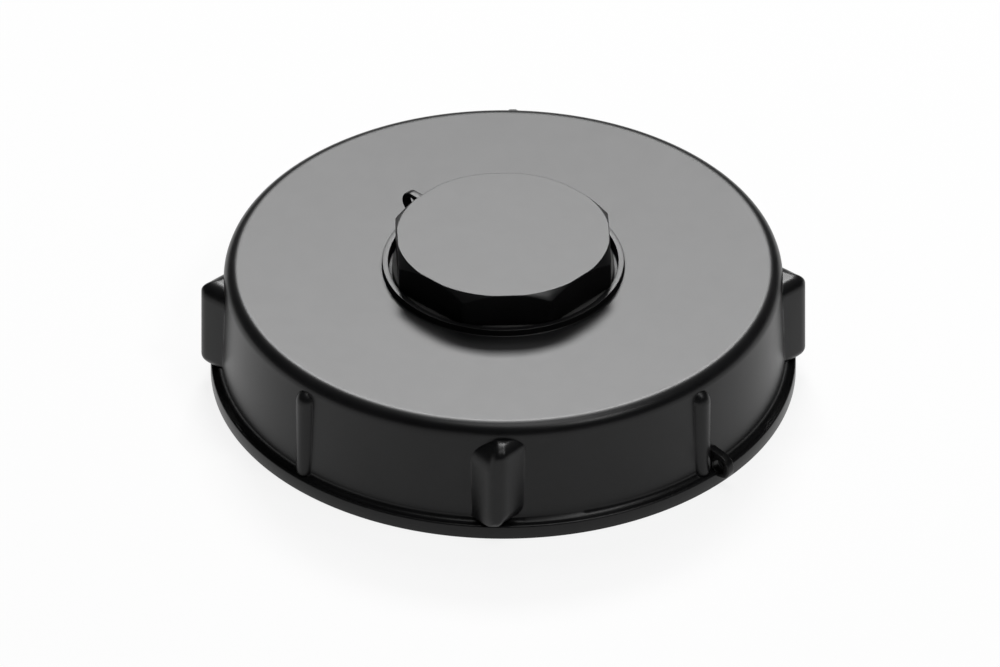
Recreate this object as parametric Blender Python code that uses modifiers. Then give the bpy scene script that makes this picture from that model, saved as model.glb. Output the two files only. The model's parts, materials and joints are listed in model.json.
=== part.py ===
"""Screw lid of a bulk container, with a smaller screw plug in its middle.

The lid is one moulding: a cup with a rim, grip lugs and ribs, two eyelets for a
seal wire, a coarse thread for the container's neck and a threaded boss for the
plug. A flat gasket lies under its top, and another lies under the plug's head.

Sizes are in millimetres, the scene is in metres. Z points up and the origin is
on the lid's axis, at the bottom of its rim. An azimuth is counted in degrees
from the front (-Y), anticlockwise seen from above, so +90 is the right (+X).
"""
import math

import bmesh
import bpy
from mathutils import Matrix, Vector

MM = 0.001
MERGE = 0.00001

# Thread for the container's neck, cut right-handed
NECK_THREAD_RADIUS = 82.7
NECK_THREAD_DEPTH = 2.2
NECK_THREAD_PITCH = 7.0
NECK_THREAD_ROOT = 4.4
NECK_THREAD_CREST = 1.7
NECK_THREAD_MOUTH_GAP = 3.8
NECK_THREAD_GASKET_GAP = 1.0

# Lid cup
WALL_THICKNESS = 3.3
WALL_DRAFT = 0.8
LID_HEIGHT = 39.05
TOP_THICKNESS = 4.05
SHOULDER_RADIUS = 4.3
RIM_PROJECTION = 3.2
RIM_HEIGHT = 4.7
RIM_EDGE = 0.6
RIM_FILLET = 1.8
MOUTH_CHAMFER = 1.2

# Lid gasket and the lip that keeps it in place
GASKET_SIDE_GAP = 1.1
GASKET_WIDTH = 10.6
GASKET_THICKNESS = 3.6
GASKET_EDGE = 0.5
LIP_THICKNESS = 1.6
LIP_DEPTH = 2.6

# Grip lugs: four wide ones, each with its centre beside a main axis
LUG_PROJECTION = 6.1
LUG_BASE_WIDTH = 16.6
LUG_RIDGE_WIDTH = 3.8
LUG_RIDGE_EDGE = 1.0
LUG_LIFT = 0.3
LUG_TOP_DROP = 3.55
LUG_END_RADIUS = 3.7
LUG_CORNER_RADIUS = 4.5
LUG_AZIMUTHS = (0.0, 90.0, 180.0, 270.0)
LUG_SHIFTS = (-1.7, 1.7, -1.7, 1.7)

# Grip ribs: four narrow half-round ones between the lugs
RIB_RADIUS = 2.5
RIB_TOP_DROP = 4.05
RIB_ROUNDING = 4.0
RIB_AZIMUTHS = (-45.0, 45.0, 135.0, 225.0)

# Thread between the plug and the lid's boss, cut right-handed
PLUG_THREAD_RADIUS = 27.7
PLUG_THREAD_DEPTH = 1.3
PLUG_THREAD_PITCH = 4.0
PLUG_THREAD_ROOT = 2.0
PLUG_THREAD_CREST = 0.8
PLUG_THREAD_END_GAP = 0.5
BOSS_THREAD_END_GAP = 1.0
THREAD_CLEARANCE = 0.5
THREAD_FLANK_GAP = 0.3

# Plug
PLUG_HEAD_OVERHANG = 5.0
PLUG_FLAT_AZIMUTH = 2.3
PLUG_HEAD_HEIGHT = 10.9
PLUG_CORNER_CHAMFER = 2.2
PLUG_CORNER_EDGE = 1.0
PLUG_LENGTH = 21.7
PLUG_TOP_WALL = 3.6
PLUG_SIDE_WALL = 3.2
PLUG_NECK_LENGTH = 4.4
PLUG_TIP_CHAMFER = 1.0

# Plug gasket
PLUG_GASKET_THICKNESS = 2.0
PLUG_GASKET_SIDE_GAP = 1.7
PLUG_GASKET_EDGE = 0.4

# Collar and seat round the plug
COLLAR_SIDE_GAP = 0.5
COLLAR_THICKNESS = 1.3
COLLAR_HEIGHT = 2.2
COLLAR_EDGE = 0.4
SEAT_DEPTH = 1.45

# Threaded boss under the lid and the webs that stiffen its top
BOSS_WALL = 4.6
BOSS_LENGTH = 19.0
BOSS_CHAMFER = 0.8
WEB_COUNT = 8
WEB_THICKNESS = 2.0
WEB_DEPTH = 5.0

# Eyelets for the seal wire
EYELET_THICKNESS = 2.7
EYELET_HOLE_RADIUS = 2.3
EYELET_SINK = 1.5
RIM_EYELET_AZIMUTH = 47.0
RIM_EYELET_OFFSET = 0.2
RIM_EYELET_LIFT = 2.4
RIM_EYELET_REACH = 4.5
RIM_EYELET_BACK_LIFT = 7.9
RIM_EYELET_LEAN = 14.0
TOP_EYELET_AZIMUTH = -135.0
TOP_EYELET_OFFSET = 3.3
TOP_EYELET_LIFT = 3.3
TOP_EYELET_REACH = 3.6

# Gap between pieces that touch on the real lid
SEAT_GAP = 0.3

# How finely round shapes are divided
LID_STEPS = 60
PLUG_STEPS = 40
ARC_STEPS = 3
PIN_STEPS = 16

# How far a helper shape reaches past what it cuts
CUTTER_MARGIN = 2.0

# How the threads end and how deep their feet go into the walls
RUN_OUT = 24.0
RUN_OUT_SHARE = 0.4
THREAD_SINK = 0.5
LOADED_FLANK_SHARE = 0.12

# Radii worked out from the sizes above
WALL_TOP_RADIUS = NECK_THREAD_RADIUS + WALL_THICKNESS
WALL_BASE_RADIUS = WALL_TOP_RADIUS + WALL_DRAFT
RIM_RADIUS = WALL_BASE_RADIUS + RIM_PROJECTION
LUG_TIP_RADIUS = WALL_BASE_RADIUS + LUG_PROJECTION
GASKET_OUTER_RADIUS = NECK_THREAD_RADIUS - GASKET_SIDE_GAP
GASKET_INNER_RADIUS = GASKET_OUTER_RADIUS - GASKET_WIDTH
LIP_OUTER_RADIUS = GASKET_INNER_RADIUS - SEAT_GAP
LIP_INNER_RADIUS = LIP_OUTER_RADIUS - LIP_THICKNESS
SHANK_RADIUS = PLUG_THREAD_RADIUS - PLUG_THREAD_DEPTH
HOLLOW_RADIUS = SHANK_RADIUS - PLUG_SIDE_WALL
PLUG_CORNER_RADIUS = (PLUG_THREAD_RADIUS + PLUG_HEAD_OVERHANG) / math.cos(math.pi / 8)
BORE_RADIUS = PLUG_THREAD_RADIUS + THREAD_CLEARANCE
BOSS_RADIUS = BORE_RADIUS + BOSS_WALL
COLLAR_INNER_RADIUS = PLUG_CORNER_RADIUS + COLLAR_SIDE_GAP
COLLAR_OUTER_RADIUS = COLLAR_INNER_RADIUS + COLLAR_THICKNESS
PLUG_GASKET_INNER_RADIUS = PLUG_THREAD_RADIUS + SEAT_GAP
PLUG_GASKET_OUTER_RADIUS = COLLAR_INNER_RADIUS - PLUG_GASKET_SIDE_GAP

# Heights worked out from the sizes above
TOP_UNDERSIDE = LID_HEIGHT - TOP_THICKNESS
GASKET_BOTTOM = TOP_UNDERSIDE - SEAT_GAP - GASKET_THICKNESS
LUG_BOTTOM = RIM_HEIGHT + LUG_LIFT
LUG_TOP = LID_HEIGHT - LUG_TOP_DROP
RIB_TOP = LID_HEIGHT - RIB_TOP_DROP
COLLAR_TOP = LID_HEIGHT + COLLAR_HEIGHT
SEAT_HEIGHT = LID_HEIGHT - SEAT_DEPTH
BOSS_BOTTOM = TOP_UNDERSIDE - BOSS_LENGTH
PLUG_GASKET_BOTTOM = SEAT_HEIGHT + SEAT_GAP
PLUG_HEAD_BOTTOM = PLUG_GASKET_BOTTOM + PLUG_GASKET_THICKNESS + SEAT_GAP
PLUG_TOP = PLUG_HEAD_BOTTOM + PLUG_HEAD_HEIGHT
PLUG_BOTTOM = PLUG_HEAD_BOTTOM - PLUG_LENGTH

# Where each thread's loaded flank starts, at azimuth 90, and how far it turns
NECK_THREAD_START = NECK_THREAD_MOUTH_GAP + NECK_THREAD_ROOT
NECK_THREAD_TURNS = (GASKET_BOTTOM - NECK_THREAD_GASKET_GAP - NECK_THREAD_START) / NECK_THREAD_PITCH
PLUG_THREAD_START = PLUG_BOTTOM + PLUG_TIP_CHAMFER + PLUG_THREAD_END_GAP + PLUG_THREAD_ROOT
PLUG_THREAD_TURNS = (PLUG_HEAD_BOTTOM - PLUG_NECK_LENGTH - PLUG_THREAD_START) / PLUG_THREAD_PITCH
BOSS_THREAD_LOWEST = BOSS_BOTTOM + BOSS_CHAMFER + BOSS_THREAD_END_GAP
BOSS_THREAD_START = BOSS_THREAD_LOWEST + (
    PLUG_THREAD_START + THREAD_FLANK_GAP - BOSS_THREAD_LOWEST) % PLUG_THREAD_PITCH
BOSS_THREAD_TURNS = (
    SEAT_HEIGHT - BOSS_THREAD_END_GAP - PLUG_THREAD_ROOT - BOSS_THREAD_START) / PLUG_THREAD_PITCH


def clear_scene():
    """Remove every object that the opened file holds."""
    for thing in list(bpy.data.objects):
        bpy.data.objects.remove(thing, do_unlink=True)


def new_collection(name):
    """A collection linked to the scene."""
    group = bpy.data.collections.new(name)
    bpy.context.scene.collection.children.link(group)
    return group


def new_material(name, colour, roughness):
    """A plain Principled material."""
    material = bpy.data.materials.new(name)
    material.use_nodes = True
    shader = material.node_tree.nodes["Principled BSDF"]
    shader.inputs["Base Color"].default_value = (*colour, 1.0)
    shader.inputs["Roughness"].default_value = roughness
    shader.inputs["Metallic"].default_value = 0.0
    material.diffuse_color = (*colour, 1.0)
    return material


def arc(centre, radius, start, end, steps=ARC_STEPS):
    """Points on a circular arc from one angle to another, in degrees."""
    points = []
    for step in range(steps + 1):
        angle = math.radians(start + (end - start) * step / steps)
        points.append((centre[0] + radius * math.cos(angle), centre[1] + radius * math.sin(angle)))
    return points


def object_from_bmesh(name, shape, group):
    """Turn a bmesh into an object in a collection."""
    mesh = bpy.data.meshes.new(name)
    shape.to_mesh(mesh)
    shape.free()
    thing = bpy.data.objects.new(name, mesh)
    group.objects.link(thing)
    return thing


def turned(name, profile, group, steps, closed=True):
    """Turn a profile of (radius, height) points round the Z axis.

    The profile runs down its outer side. A closed one makes a ring, an open one
    starts and ends on the axis.
    """
    shape = bmesh.new()
    corners = [shape.verts.new((radius * MM, 0.0, height * MM)) for radius, height in profile]
    for first, second in zip(corners, corners[1:]):
        shape.edges.new((first, second))
    if closed:
        shape.edges.new((corners[-1], corners[0]))
    thing = object_from_bmesh(name, shape, group)
    screw = thing.modifiers.new("Turn", "SCREW")
    screw.axis = "Z"
    screw.steps = steps
    screw.render_steps = steps
    screw.use_merge_vertices = True
    screw.merge_threshold = MERGE
    return thing


def hide_cutter(thing):
    """Show a helper shape as wires only."""
    thing.hide_render = True
    thing.display_type = "WIRE"
    return thing


def combine(target, tool, operation):
    """Add a Boolean modifier with a helper shape."""
    step = target.modifiers.new(operation.title() + " " + tool.name, "BOOLEAN")
    step.operation = operation
    step.solver = "EXACT"
    step.object = hide_cutter(tool)


def place(azimuth, shift=0.0):
    """A turn about Z that takes +X to an azimuth, then a move along the rim."""
    angle = math.radians(azimuth - 90.0)
    along = Vector((-math.sin(angle), math.cos(angle), 0.0)) * shift * MM
    return Matrix.Translation(along) @ Matrix.Rotation(angle, 4, "Z")


def plate(name, outline, thickness, matrix, group):
    """A flat outline, given a thickness both ways from its plane."""
    curve = bpy.data.curves.new(name, "CURVE")
    curve.dimensions = "2D"
    curve.fill_mode = "BOTH"
    curve.extrude = thickness / 2 * MM
    spline = curve.splines.new("POLY")
    spline.points.add(len(outline) - 1)
    for point, (across, up) in zip(spline.points, outline):
        point.co = (across * MM, up * MM, 0.0, 1.0)
    spline.use_cyclic_u = True
    drawn = bpy.data.objects.new(name + "_outline", curve)
    group.objects.link(drawn)
    drawn.matrix_world = matrix
    bpy.context.view_layer.update()
    evaluated = drawn.evaluated_get(bpy.context.evaluated_depsgraph_get())
    mesh = bpy.data.meshes.new_from_object(evaluated)
    shape = bmesh.new()
    shape.from_mesh(mesh)
    bmesh.ops.remove_doubles(shape, verts=shape.verts, dist=MERGE)
    bmesh.ops.recalc_face_normals(shape, faces=shape.faces)
    shape.to_mesh(mesh)
    shape.free()
    thing = bpy.data.objects.new(name, mesh)
    group.objects.link(thing)
    thing.matrix_world = drawn.matrix_world.copy()
    bpy.data.objects.remove(drawn, do_unlink=True)
    return thing


def upright(azimuth, shift=0.0):
    """The plane of a radius and the height, for a plate that stands on the lid."""
    stand = Matrix(((1, 0, 0, 0), (0, 0, -1, 0), (0, 1, 0, 0), (0, 0, 0, 1)))
    return place(azimuth, shift) @ stand


def facing(azimuth, shift, radius):
    """The plane of the rim's direction and the height, for an outline seen from outside."""
    turn = Matrix(((0, 0, 1, 0), (1, 0, 0, 0), (0, 1, 0, 0), (0, 0, 0, 1)))
    return place(azimuth, shift) @ Matrix.Translation((radius * MM, 0.0, 0.0)) @ turn


def level(azimuth, shift, height):
    """The plane of a radius and the rim's direction, at a height."""
    return Matrix.Translation((0.0, 0.0, height * MM)) @ place(azimuth, shift)


def thread_section(radius, depth, root, crest, load_side):
    """One ridge as four (radius, height) points, its foot sunk into the wall.

    A positive depth grows outwards, a negative one inwards. The loaded flank
    crosses the wall at height 0 and is nearly flat, and load_side tells whether
    the ridge lies below it (-1) or above it (+1).
    """
    sink = math.copysign(THREAD_SINK, -depth)
    loaded_slope = (root - crest) * LOADED_FLANK_SHARE
    free_slope = (root - crest) * (1.0 - LOADED_FLANK_SHARE)
    beyond = THREAD_SINK / abs(depth)
    return [
        (radius + sink, -load_side * loaded_slope * beyond),
        (radius + depth, load_side * loaded_slope),
        (radius + depth, load_side * (loaded_slope + crest)),
        (radius + sink, load_side * (root + free_slope * beyond)),
    ]


def thread(name, section, pitch, turns, start, steps, group):
    """Sweep a ridge up a right-handed helix, and let both ends run out.

    Its corners lie between those of the wall that carries it, so that no edge
    of one falls on an edge of the other.
    """
    shape = bmesh.new()
    count = round(turns * steps)
    run_out_steps = RUN_OUT / 360.0 * steps
    foot_radius = section[0][0]
    middle = (section[1][1] + section[2][1]) / 2
    rings = []
    for step in range(count + 1):
        turn = (step + 0.5) / steps
        angle = 2 * math.pi * turn
        rise = start + pitch * turn
        size = min(1.0, RUN_OUT_SHARE + min(step, count - step) / run_out_steps)
        ring = []
        for radius, height in section:
            reach = foot_radius + (radius - foot_radius) * size
            ring.append(shape.verts.new((
                reach * math.cos(angle) * MM,
                reach * math.sin(angle) * MM,
                (rise + middle + (height - middle) * size) * MM)))
        rings.append(ring)
    sides = len(section)
    for ring, following in zip(rings, rings[1:]):
        for side in range(sides):
            beside = (side + 1) % sides
            shape.faces.new((ring[side], ring[beside], following[beside], following[side]))
    shape.faces.new(rings[0])
    shape.faces.new(rings[-1])
    bmesh.ops.recalc_face_normals(shape, faces=shape.faces)
    return object_from_bmesh(name, shape, group)


def lid_profile():
    """The lid's section, from the collar over the rim and back up the bore."""
    collar_outside = [
        (COLLAR_INNER_RADIUS, COLLAR_TOP - COLLAR_EDGE),
        (COLLAR_INNER_RADIUS + COLLAR_EDGE, COLLAR_TOP),
        (COLLAR_OUTER_RADIUS - COLLAR_EDGE, COLLAR_TOP),
        (COLLAR_OUTER_RADIUS, COLLAR_TOP - COLLAR_EDGE),
        (COLLAR_OUTER_RADIUS, LID_HEIGHT),
    ]
    shoulder = arc(
        (WALL_TOP_RADIUS - SHOULDER_RADIUS, LID_HEIGHT - SHOULDER_RADIUS),
        SHOULDER_RADIUS, 90.0, 0.0, ARC_STEPS + 1)
    wall_foot = arc(
        (WALL_BASE_RADIUS + RIM_FILLET, RIM_HEIGHT + RIM_FILLET),
        RIM_FILLET, 180.0, 270.0)
    rim = [
        (RIM_RADIUS - RIM_EDGE, RIM_HEIGHT),
        (RIM_RADIUS, RIM_HEIGHT - RIM_EDGE),
        (RIM_RADIUS, 0.0),
        (NECK_THREAD_RADIUS + MOUTH_CHAMFER, 0.0),
        (NECK_THREAD_RADIUS, MOUTH_CHAMFER),
        (NECK_THREAD_RADIUS, TOP_UNDERSIDE),
    ]
    gasket_lip = [
        (LIP_OUTER_RADIUS, TOP_UNDERSIDE),
        (LIP_OUTER_RADIUS, TOP_UNDERSIDE - LIP_DEPTH),
        (LIP_INNER_RADIUS, TOP_UNDERSIDE - LIP_DEPTH),
        (LIP_INNER_RADIUS, TOP_UNDERSIDE),
    ]
    boss = [
        (BOSS_RADIUS, TOP_UNDERSIDE),
        (BOSS_RADIUS, BOSS_BOTTOM + BOSS_CHAMFER),
        (BOSS_RADIUS - BOSS_CHAMFER, BOSS_BOTTOM),
        (BORE_RADIUS + BOSS_CHAMFER, BOSS_BOTTOM),
        (BORE_RADIUS, BOSS_BOTTOM + BOSS_CHAMFER),
        (BORE_RADIUS, SEAT_HEIGHT),
        (COLLAR_INNER_RADIUS, SEAT_HEIGHT),
    ]
    return collar_outside + shoulder + wall_foot + rim + gasket_lip + boss


def make_lug(number, azimuth, shift, group):
    """A wide grip lug with sloping sides, rounded ends and rounded corners."""
    inside = (NECK_THREAD_RADIUS + WALL_TOP_RADIUS) / 2
    half_base = LUG_BASE_WIDTH / 2
    half_ridge = LUG_RIDGE_WIDTH / 2
    slope = (half_base - half_ridge) / (LUG_TIP_RADIUS - WALL_BASE_RADIUS)
    section = [
        (inside, -half_base),
        (WALL_BASE_RADIUS - RIM_FILLET, -half_base),
        (LUG_TIP_RADIUS - LUG_RIDGE_EDGE, -half_ridge - slope * LUG_RIDGE_EDGE),
        (LUG_TIP_RADIUS, -half_ridge + LUG_RIDGE_EDGE / 2),
    ]
    section += [(radius, -across) for radius, across in reversed(section)]
    body = plate(
        f"lug_body_{number}", section, LUG_TOP - LUG_BOTTOM,
        level(azimuth, shift, (LUG_TOP + LUG_BOTTOM) / 2), group)
    end = LUG_TIP_RADIUS - LUG_END_RADIUS
    side = [(inside, LUG_BOTTOM)]
    side += arc((end, LUG_BOTTOM + LUG_END_RADIUS), LUG_END_RADIUS, 270.0, 360.0)
    side += arc((end, LUG_TOP - LUG_END_RADIUS), LUG_END_RADIUS, 0.0, 90.0)
    side.append((inside, LUG_TOP))
    ends = plate(
        f"lug_ends_{number}", side, LUG_BASE_WIDTH + 2 * CUTTER_MARGIN, upright(azimuth, shift), group)
    combine(body, ends, "INTERSECT")
    across = half_base - LUG_CORNER_RADIUS
    low = LUG_BOTTOM + LUG_CORNER_RADIUS
    high = LUG_TOP - LUG_CORNER_RADIUS
    front = arc((across, low), LUG_CORNER_RADIUS, 270.0, 360.0)
    front += arc((across, high), LUG_CORNER_RADIUS, 0.0, 90.0)
    front += arc((-across, high), LUG_CORNER_RADIUS, 90.0, 180.0)
    front += arc((-across, low), LUG_CORNER_RADIUS, 180.0, 270.0)
    corners = plate(
        f"lug_corners_{number}", front, LUG_TIP_RADIUS - inside + 2 * CUTTER_MARGIN,
        facing(azimuth, shift, (LUG_TIP_RADIUS + inside) / 2), group)
    combine(body, corners, "INTERSECT")
    return body


def make_rib(number, azimuth, group):
    """A narrow half-round grip rib with a rounded top."""
    shoulder = RIB_TOP - RIB_ROUNDING
    profile = [
        (RIB_RADIUS * across, shoulder + RIB_ROUNDING * up)
        for across, up in arc((0.0, 0.0), 1.0, 90.0, 0.0, ARC_STEPS + 1)]
    profile += [(RIB_RADIUS, RIM_HEIGHT - RIM_EDGE), (0.0, RIM_HEIGHT - RIM_EDGE)]
    rib = turned(f"rib_{number}", profile, group, PIN_STEPS, closed=False)
    middle = (WALL_TOP_RADIUS + WALL_BASE_RADIUS) / 2
    rib.matrix_world = place(azimuth) @ Matrix.Translation((middle * MM, 0.0, 0.0))
    return rib


def make_pin(name, radius, length, matrix, group):
    """A cylinder across a plate, to cut its hole."""
    shape = bmesh.new()
    bmesh.ops.create_cone(
        shape, cap_ends=True, segments=PIN_STEPS, radius1=radius * MM, radius2=radius * MM,
        depth=length * MM)
    pin = object_from_bmesh(name, shape, group)
    pin.matrix_world = matrix
    return pin


def make_eyelet(name, outline, hole, azimuth, group):
    """An upright plate with a hole for the seal wire."""
    plane = upright(azimuth, EYELET_THICKNESS / 2)
    eyelet = plate(name, outline, EYELET_THICKNESS, plane, group)
    pin = make_pin(
        name + "_hole", EYELET_HOLE_RADIUS, EYELET_THICKNESS + 2 * CUTTER_MARGIN,
        plane @ Matrix.Translation((hole[0] * MM, hole[1] * MM, 0.0)), group)
    combine(eyelet, pin, "DIFFERENCE")
    return eyelet


def make_eyelets(group):
    """The eyelet on the rim and the one on the lid's top, beside the collar."""
    rim_hole = (RIM_RADIUS + RIM_EYELET_OFFSET, RIM_HEIGHT + RIM_EYELET_LIFT)
    rim_foot = RIM_HEIGHT - EYELET_SINK
    rim_back = WALL_TOP_RADIUS - EYELET_SINK
    rim_outline = [(rim_back, rim_foot), (RIM_RADIUS - RIM_EDGE, rim_foot)]
    rim_outline += arc(rim_hole, RIM_EYELET_REACH, -45.0, 90.0 - RIM_EYELET_LEAN, 2 * ARC_STEPS)
    rim_outline.append((rim_back, RIM_HEIGHT + RIM_EYELET_BACK_LIFT))
    on_rim = make_eyelet("rim_eyelet", rim_outline, rim_hole, RIM_EYELET_AZIMUTH, group)

    top_hole = (COLLAR_OUTER_RADIUS + TOP_EYELET_OFFSET, LID_HEIGHT + TOP_EYELET_LIFT)
    top_foot = LID_HEIGHT - EYELET_SINK
    top_back = COLLAR_OUTER_RADIUS - COLLAR_THICKNESS / 2
    top_outline = [(top_back, top_foot), (top_hole[0] + TOP_EYELET_REACH, top_foot)]
    top_outline += arc(top_hole, TOP_EYELET_REACH, 0.0, 90.0, 2 * ARC_STEPS)
    top_outline.append((top_back, top_hole[1] + TOP_EYELET_REACH))
    on_top = make_eyelet("top_eyelet", top_outline, top_hole, TOP_EYELET_AZIMUTH, group)
    return [on_rim, on_top]


def make_webs(group):
    """Flat webs under the lid's top, from the boss out to the gasket's lip."""
    inner = BOSS_RADIUS - BOSS_WALL / 2
    outer = LIP_OUTER_RADIUS - LIP_THICKNESS / 2
    webs = []
    for number in range(WEB_COUNT):
        shape = bmesh.new()
        bmesh.ops.create_cube(shape, size=1.0)
        size = Vector((outer - inner, WEB_THICKNESS, WEB_DEPTH + TOP_THICKNESS / 2)) * MM
        bmesh.ops.scale(shape, vec=size, verts=shape.verts)
        web = object_from_bmesh(f"web_{number}", shape, group)
        centre = TOP_UNDERSIDE - WEB_DEPTH + size.z / MM / 2
        web.matrix_world = place(360.0 * (number + 0.5) / WEB_COUNT) @ Matrix.Translation(
            ((inner + outer) / 2 * MM, 0.0, centre * MM))
        webs.append(web)
    return webs


def make_lid(group, cutters, material):
    """The lid's moulding."""
    lid = turned("lid", lid_profile(), group, LID_STEPS)
    additions = [
        make_lug(number, azimuth, shift, cutters)
        for number, (azimuth, shift) in enumerate(zip(LUG_AZIMUTHS, LUG_SHIFTS))]
    additions += [make_rib(number, azimuth, cutters) for number, azimuth in enumerate(RIB_AZIMUTHS)]
    additions += make_eyelets(cutters)
    additions += make_webs(cutters)
    neck_section = thread_section(
        NECK_THREAD_RADIUS, -NECK_THREAD_DEPTH, NECK_THREAD_ROOT, NECK_THREAD_CREST, -1)
    additions.append(thread(
        "neck_thread", neck_section, NECK_THREAD_PITCH, NECK_THREAD_TURNS,
        NECK_THREAD_START, LID_STEPS, cutters))
    boss_section = thread_section(
        BORE_RADIUS, -PLUG_THREAD_DEPTH, PLUG_THREAD_ROOT, PLUG_THREAD_CREST, 1)
    additions.append(thread(
        "boss_thread", boss_section, PLUG_THREAD_PITCH, BOSS_THREAD_TURNS,
        BOSS_THREAD_START, LID_STEPS, cutters))
    for addition in additions:
        combine(lid, addition, "UNION")
    lid.data.materials.append(material)
    return lid


def make_gasket(name, inner, outer, bottom, thickness, edge, steps, group, material):
    """A flat ring with chamfered edges."""
    top = bottom + thickness
    profile = [
        (inner, top - edge),
        (inner + edge, top),
        (outer - edge, top),
        (outer, top - edge),
        (outer, bottom + edge),
        (outer - edge, bottom),
        (inner + edge, bottom),
        (inner, bottom + edge),
    ]
    ring = turned(name, profile, group, steps)
    ring.data.materials.append(material)
    return ring


def make_plug(group, cutters, material):
    """The plug: an eight-sided head on a hollow threaded shank."""
    head_radius = PLUG_CORNER_RADIUS + COLLAR_SIDE_GAP
    top_radius = PLUG_CORNER_RADIUS - PLUG_CORNER_CHAMFER
    corner_drop = head_radius - top_radius
    profile = [
        (0.0, PLUG_TOP),
        (top_radius, PLUG_TOP),
        (head_radius, PLUG_TOP - corner_drop),
        (head_radius, PLUG_HEAD_BOTTOM),
        (SHANK_RADIUS, PLUG_HEAD_BOTTOM),
        (SHANK_RADIUS, PLUG_BOTTOM + PLUG_TIP_CHAMFER),
        (SHANK_RADIUS - PLUG_TIP_CHAMFER, PLUG_BOTTOM),
        (HOLLOW_RADIUS, PLUG_BOTTOM),
        (HOLLOW_RADIUS, PLUG_TOP - PLUG_TOP_WALL),
        (0.0, PLUG_TOP - PLUG_TOP_WALL),
    ]
    plug = turned("plug", profile, group, PLUG_STEPS, closed=False)

    shape = bmesh.new()
    height = PLUG_TOP - PLUG_BOTTOM + CUTTER_MARGIN
    bmesh.ops.create_cone(
        shape, cap_ends=True, segments=8, radius1=PLUG_CORNER_RADIUS * MM,
        radius2=PLUG_CORNER_RADIUS * MM, depth=height * MM)
    upright_edges = [
        edge for edge in shape.edges
        if abs(edge.verts[0].co.z - edge.verts[1].co.z) > height / 2 * MM]
    bmesh.ops.bevel(
        shape, geom=upright_edges, offset=PLUG_CORNER_EDGE * MM, offset_type="OFFSET",
        segments=ARC_STEPS, profile=0.5, affect="EDGES")
    octagon = object_from_bmesh("plug_octagon", shape, cutters)
    octagon.matrix_world = place(PLUG_FLAT_AZIMUTH + 22.5) @ Matrix.Translation(
        (0.0, 0.0, (PLUG_TOP + PLUG_BOTTOM) / 2 * MM))
    combine(plug, octagon, "INTERSECT")

    section = thread_section(
        SHANK_RADIUS, PLUG_THREAD_DEPTH, PLUG_THREAD_ROOT, PLUG_THREAD_CREST, -1)
    ridge = thread(
        "plug_thread", section, PLUG_THREAD_PITCH, PLUG_THREAD_TURNS,
        PLUG_THREAD_START, PLUG_STEPS, cutters)
    combine(plug, ridge, "UNION")
    plug.data.materials.append(material)
    return plug


def build():
    """Model the whole lid."""
    clear_scene()
    pieces = new_collection("container_lid")
    cutters = new_collection("cutters")
    black_plastic = new_material("black_plastic", (0.012, 0.012, 0.013), 0.35)
    plug_plastic = new_material("plug_plastic", (0.012, 0.012, 0.013), 0.3)
    seal_rubber = new_material("seal_rubber", (0.03, 0.03, 0.03), 0.75)
    make_lid(pieces, cutters, black_plastic)
    make_gasket(
        "lid_gasket", GASKET_INNER_RADIUS, GASKET_OUTER_RADIUS,
        GASKET_BOTTOM, GASKET_THICKNESS, GASKET_EDGE, LID_STEPS, pieces, seal_rubber)
    make_plug(pieces, cutters, plug_plastic)
    make_gasket(
        "plug_gasket", PLUG_GASKET_INNER_RADIUS, PLUG_GASKET_OUTER_RADIUS,
        PLUG_GASKET_BOTTOM, PLUG_GASKET_THICKNESS, PLUG_GASKET_EDGE,
        PLUG_STEPS, pieces, seal_rubber)


build()
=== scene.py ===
"""Looks of a bulk container's screw lid with its eight-sided plug, in black moulded plastic.

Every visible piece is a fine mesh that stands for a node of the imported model. Sizes are in
millimetres and the scene is in metres. Azimuths are counted in degrees from the front (-Y),
anticlockwise seen from above, so +90 is the right (+X).
"""
import json
import math

import bmesh
import bpy
from mathutils import Matrix, Vector


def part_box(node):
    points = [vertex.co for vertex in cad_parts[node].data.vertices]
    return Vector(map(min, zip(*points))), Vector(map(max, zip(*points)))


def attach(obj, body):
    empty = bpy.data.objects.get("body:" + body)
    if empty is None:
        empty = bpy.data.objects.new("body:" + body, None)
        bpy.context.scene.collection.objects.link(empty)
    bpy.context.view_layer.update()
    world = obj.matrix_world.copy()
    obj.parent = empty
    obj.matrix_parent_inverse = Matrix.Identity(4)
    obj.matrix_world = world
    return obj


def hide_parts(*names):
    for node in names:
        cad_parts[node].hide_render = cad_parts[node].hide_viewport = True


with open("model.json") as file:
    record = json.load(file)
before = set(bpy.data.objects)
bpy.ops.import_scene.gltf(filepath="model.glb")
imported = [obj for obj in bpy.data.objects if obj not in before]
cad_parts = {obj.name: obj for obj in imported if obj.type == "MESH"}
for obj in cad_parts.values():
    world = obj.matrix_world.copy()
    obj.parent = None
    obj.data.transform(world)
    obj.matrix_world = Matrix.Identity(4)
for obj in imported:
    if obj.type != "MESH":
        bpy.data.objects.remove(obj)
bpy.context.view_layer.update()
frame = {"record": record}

MM = 0.001


def node_size(node):
    """A node's largest radius, its lowest and its highest point, in millimetres."""
    low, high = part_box(node)
    return (high.x - low.x) / 2 / MM, low.z / MM, high.z / MM


# The photograph's view: parallel, from the front and above
PICTURE_WIDTH = 307.6
VIEW_SINE = 0.5785
VIEW_RIGHT = -1.003
VIEW_UP = 11.21
VIEW_DISTANCE = 900.0

# Lid cup, its rim and its mouth
LUG_TIP, LID_BOTTOM, EYELET_TOP = node_size("lid")
LID_HEIGHT = 39.05
COLLAR_TOP = 41.25
WALL_TOP = 86.0
WALL_BASE = 86.8
RIM_RADIUS = 90.0
RIM_HEIGHT = 4.7
RIM_EDGE = 0.6
RIM_FILLET = 1.8
SHOULDER = 4.3
MOUTH_CHAMFER = 1.2
TOP_THICKNESS = 4.05
NECK_RADIUS = 82.7
UNDERSIDE = LID_HEIGHT - TOP_THICKNESS

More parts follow.
